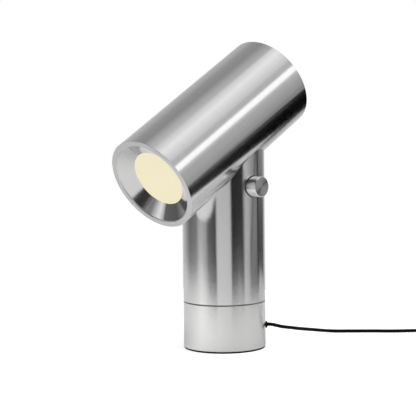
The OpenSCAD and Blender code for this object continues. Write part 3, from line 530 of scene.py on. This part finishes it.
CARDS_AWAY = 4
CLOTH_AWAY = 3.9
CARDS_MIDDLE = 0.15
CARD_TURN_STEP = 4
CARD_HEIGHT_STEP = 6
CARDS = [
    # name, from, to, lowest, highest, brightness at its left and right, share of it at its top
    ("back_corner", 144, 160, -60, 14, 0.4, 0.55, 1),
    ("back_wall", 160, 205, -60, 14, 0.72, 0.7, 0.95),
    ("back_wall_top", 130, 230, 14, 42, 0.56, 0.56, 0.76),
    ("left_back_wall", -155, -112, -60, 14, 0.66, 0.18, 1),
    ("left_wall", -112, -79, -60, 20, 0.12, 0.16, 1.3),
    ("left_foot", -79, -47, -60, -9.5, 0.05, 0.05, 1),
    ("left_panel_foot", -79, -47, -9.5, -7, 0.52, 0.64, 1),
    ("left_panel", -79, -47, -7, -3, 0.15, 0.36, 1),
    ("left_light_rise", -58, -47, -3, 20, 0.7, 0.08, 1),
    ("left_light", -69, -58, -3, 20, 1.35, 0.7, 1),
    ("left_light_fall", -79, -69, -3, 20, 0.6, 1.35, 1),
    ("left_flag", -47, -19.5, -60, -9.5, 0.06, 0.01, 1),
    ("left_flag_foot", -47, -19.5, -9.5, -7.2, 0.44, 0.14, 0.7),
    ("left_flag_top", -47, -19.5, -7.2, 20, 0.06, 0.01, 1),
    ("front_panel_foot", -19.5, 21.5, -60, -8, 0.74, 0.7, 1),
    ("front_panel", -19.5, 21.5, -8, -4.5, 0.7, 0.64, 0.75),
    ("front_panel_top", -19.5, 21.5, -4.5, 20, 0.52, 0.48, 1),
    ("right_flag", 21.5, 58.5, -60, 20, 0, 0.025, 1),
    ("right_panel", 58.5, 80, -12, 20, 0.6, 0.4, 1.05),
    ("right_panel_floor", 58.5, 80, -60, -12, 0.03, 0.02, 1),
    ("right_wall", 80, 108, -8.5, 18, 0.36, 0.23, 1.5),
    ("right_floor", 80, 108, -60, -8.5, 0.02, 0.01, 1),
    ("right_back_flag", 108, 113, -60, 14, 0, 0, 1),
    ("right_back_wall", 113, 144, -3, 14, 0.26, 0.34, 1.1),
    ("right_back_slope", 113, 144, -4.8, -3, 0.06, 0.09, 3.5),
    ("right_back_skirt", 113, 144, -9, -4.8, 0.05, 0.065, 1),
    ("right_back_floor", 113, 144, -60, -9, 0, 0, 1),
    ("strip_light_frame", 35, 130, 18, 25.5, 0.5, 0.5, 1.3),
    ("strip_light", 35, 130, 25.5, 36, 1.3, 1.3, 1),
    ("ceiling_edge", 30, 130, 36, 47, 0.5, 0.5, 1.15),
    ("ceiling", 30, 130, 47, 72, 0.68, 0.68, 1.55),
    ("ceiling_top", 30, 130, 72, 90, 0.98, 0.98, 0.65),
    ("ceiling_back", 130, 230, 42, 66, 0.37, 0.37, 0.82),
    ("ceiling_back_top", 130, 230, 66, 90, 0.3, 0.3, 2.3),
    ("ceiling_front", -130, 30, 20, 90, 0.5, 0.5, 1),
]
# Dark cloth above the camera, which only the metal sees, so that it takes no light from the table
DARK_CLOTH = ("dark_behind_camera", -60, 30, 20, 60, 0.03, 0.03, 1)

# Stand's arm beside the knob: its distance from the knob, its width, the slant at which the ray
# crosses the knob's face, and the leans of that face which the arm follows
ARM_AWAY = 0.5
ARM_WIDTH = 3.2
RAY_SLANT = 42
RAY_TILTS = range(-12, 25, 4)

COVER_GAP = 3
COVER_GLOW = 0.6

ROOM_WHITE = 1
ROOM_LIGHT = 0.7
OVERHEAD_WIDE = 1.6
OVERHEAD_WATTS = 15
OVERHEAD_PLACE = (0.3, -0.3, 1.8)
OVERHEAD_TURN = (0.16, 0.16, 0)


def toward(turn, out, height=0):
    """Place by its turn from the camera's side, its distance out and its height in metres."""
    angle = math.radians(CAMERA_SIDE + turn)
    return out * math.cos(angle), out * math.sin(angle), height


def make_table():
    """The table keeps the lamp's shadow, and the camera sees the rest of it as white as the room.
    In the metal it carries a painted pool of light, brightest in front of the head where the lamp's own
    light would fall."""
    table = add_mesh(
        "table", [toward(*corner) for corner in TABLE_CORNERS], [range(len(TABLE_CORNERS))]
    )
    material, tree, surface = new_material("white_laminate")
    surface.inputs["Base Color"].default_value = linear("#E9E9E8")
    surface.inputs["Roughness"].default_value = 0.8
    surface.inputs["Emission Color"].default_value = (1, 1, 1, 1)
    rays = add(tree, "ShaderNodeLightPath")
    # Painted light: glow that only the metal sees, a painted pool in front of the head and a painted spill
    # beside the lamp
    in_metal = add(tree, "ShaderNodeMath", {
        0: rays.outputs["Is Glossy Ray"], 1: rays.outputs["Is Transmission Ray"]
    }, operation="ADD").outputs["Value"]
    outward = add(tree, "ShaderNodeVectorMath", {
        0: add(tree, "ShaderNodeTexCoord").outputs["Object"]
    }, operation="NORMALIZE").outputs["Vector"]
    ahead = add(tree, "ShaderNodeVectorMath", {
        0: outward, 1: toward(POOL_TURN, 1)
    }, operation="DOT_PRODUCT").outputs["Value"]
    pool = add(tree, "ShaderNodeMath", {0: ahead, 1: 0}, operation="MAXIMUM").outputs["Value"]
    pool = add(tree, "ShaderNodeMath", {0: pool, 1: POOL_FALL}, operation="POWER").outputs["Value"]
    spill = add(tree, "ShaderNodeMapRange", {
        "Value": ahead, "From Min": -1, "From Max": 0, "To Min": 0, "To Max": SPILL_GLOW
    }).outputs["Result"]
    pool = add(tree, "ShaderNodeMath", {
        0: pool, 1: POOL_GLOW, 2: spill
    }, operation="MULTIPLY_ADD").outputs["Value"]
    glow = add(tree, "ShaderNodeMath", {0: in_metal, 1: pool}, operation="MULTIPLY").outputs["Value"]
    glow = add(tree, "ShaderNodeMath", {
        0: rays.outputs["Is Camera Ray"], 1: TABLE_WHITE, 2: glow
    }, operation="MULTIPLY_ADD").outputs["Value"]
    tree.links.new(glow, surface.inputs["Emission Strength"])
    dress(table, material)


def card_material():
    """Cloth or board lit from in front: each card carries its own brightness at its corners."""
    material, tree, surface = new_material("studio_card")
    surface.inputs["Base Color"].default_value = linear("#000000")
    surface.inputs["Specular IOR Level"].default_value = 0
    surface.inputs["Emission Color"].default_value = (1, 1, 1, 1)
    bright = add(tree, "ShaderNodeAttribute", attribute_name="brightness").outputs["Fac"]
    tree.links.new(bright, surface.inputs["Emission Strength"])
    return material


def hang_card(name, corners, faces, bright, diffuse, material):
    """A card with its brightness at each corner. The metal shows it, the camera doesn't see it, and it
    throws no shadow. Where diffuse is false, it neither lights nor darkens the table either."""
    card = add_mesh(name, corners, faces)
    card.data.attributes.new("brightness", "FLOAT", "POINT").data.foreach_set("value", bright)
    dress(card, material)
    card.visible_camera = False
    card.visible_shadow = False
    card.visible_diffuse = diffuse


def make_card(name, left, right, low, high, at_left, at_right, top_share, away, diffuse, material):
    """A curved card far round the lamp, from one turn to another and from one height to another."""
    wide = max(2, int((right - left) / CARD_TURN_STEP))
    tall = max(2, int((high - low) / CARD_HEIGHT_STEP))
    corners, bright, faces = [], [], []
    for j in range(tall + 1):
        up = math.radians(low + (high - low) * j / tall)
        for i in range(wide + 1):
            turn = left + (right - left) * i / wide
            corners.append(toward(turn, away * math.cos(up), CARDS_MIDDLE + away * math.sin(up)))
            bright.append((at_left + (at_right - at_left) * i / wide) * (1 + (top_share - 1) * j / tall))
    for j in range(tall):
        for i in range(wide):
            a = j * (wide + 1) + i
            faces.append((a, a + wide + 1, a + wide + 2, a + 1))
    hang_card(name, corners, faces, bright, diffuse, material)


def make_stand_arm(material):
    """A lamp stand's dark arm beside the lamp. It follows the places that the knob's face would mirror if it
    leaned to and fro along a slanted line. The fine rings of the turned face then draw the arm out into
    the thin dark ray that crosses the knob in the photograph."""
    view = (Vector(KNOB_FACE) * MM - camera.location).normalized()
    slant = math.radians(RAY_SLANT)
    corners = []
    for tilt in RAY_TILTS:
        tilt = math.radians(tilt)
        leaning = Vector((
            math.cos(tilt), math.sin(tilt) * math.cos(slant), math.sin(tilt) * math.sin(slant)
        ))
        mirrored = view.reflect(leaning)
        turn = math.degrees(math.atan2(mirrored.y, mirrored.x)) - CAMERA_SIDE
        up = math.degrees(math.asin(mirrored.z))
        for edge in (up - ARM_WIDTH / 2, up + ARM_WIDTH / 2):
            edge = math.radians(edge)
            side = Vector(toward(turn, ARM_AWAY * math.cos(edge), ARM_AWAY * math.sin(edge)))
            corners.append(Vector(KNOB_CENTRE) * MM + side)
    faces = [(2 * i, 2 * i + 2, 2 * i + 3, 2 * i + 1) for i in range(len(RAY_TILTS) - 1)]
    hang_card("stand_arm", corners, faces, [0] * len(corners), False, material)


def make_coil_cover(material):
    """A low white cover that only the metal sees, so that the tubes don't mirror the coil:
    in the photograph they mirror a plain table."""
    names = ("cord_coil", "coil_tie", "adapter_relief", "power_adapter", "contact_pin_1")
    boxes = [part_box(name) for name in names]
    gap = COVER_GAP * MM
    low = [min(box[0][i] for box in boxes) - gap for i in range(3)]
    high = [max(box[1][i] for box in boxes) + gap for i in range(3)]
    corners = [(x, y, z) for z in (0, high[2]) for x, y in (
        (low[0], low[1]), (high[0], low[1]), (high[0], high[1]), (low[0], high[1])
    )]
    sides = [(i, (i + 1) % 4, (i + 1) % 4 + 4, i + 4) for i in range(4)]
    top = (4, 5, 6, 7)
    hang_card("coil_cover", corners, sides + [top], [COVER_GLOW] * len(corners), False, material)


def make_room():
    """White for the camera, and for metal wherever no card stands; softer for the light it gives."""
    world = bpy.data.worlds.new("room")
    bpy.context.scene.world = world
    world.use_nodes = True
    tree = world.node_tree
    tree.nodes.clear()
    rays = add(tree, "ShaderNodeLightPath")
    seen = add(tree, "ShaderNodeMath", {
        0: rays.outputs["Is Camera Ray"], 1: rays.outputs["Is Glossy Ray"]
    }, operation="ADD").outputs["Value"]
    seen = add(tree, "ShaderNodeMath", {
        0: seen, 1: rays.outputs["Is Transmission Ray"]
    }, operation="ADD", use_clamp=True).outputs["Value"]
    strength = add(tree, "ShaderNodeMapRange", {
        "Value": seen, "To Min": ROOM_LIGHT, "To Max": ROOM_WHITE
    }).outputs["Result"]
    glow = add(tree, "ShaderNodeBackground", {"Color": (1, 1, 1, 1), "Strength": strength})
    add(tree, "ShaderNodeOutputWorld", {"Surface": glow.outputs["Background"]})


def make_overhead_light():
    """A wide soft light overhead, for the plain level on everything that isn't metal."""
    light = bpy.data.lights.new("overhead_light", "AREA")
    light.shape = "DISK"
    light.size = OVERHEAD_WIDE
    light.energy = OVERHEAD_WATTS
    lamp = bpy.data.objects.new("overhead_light", light)
    bpy.context.scene.collection.objects.link(lamp)
    lamp.location = OVERHEAD_PLACE
    lamp.rotation_euler = OVERHEAD_TURN
    lamp.visible_glossy = False


make_table()
card_board = card_material()
for card in CARDS:
    make_card(*card, CARDS_AWAY, True, card_board)
make_card(*DARK_CLOTH, CLOTH_AWAY, False, card_board)
make_stand_arm(card_board)
make_coil_cover(card_board)
make_room()
make_overhead_light()
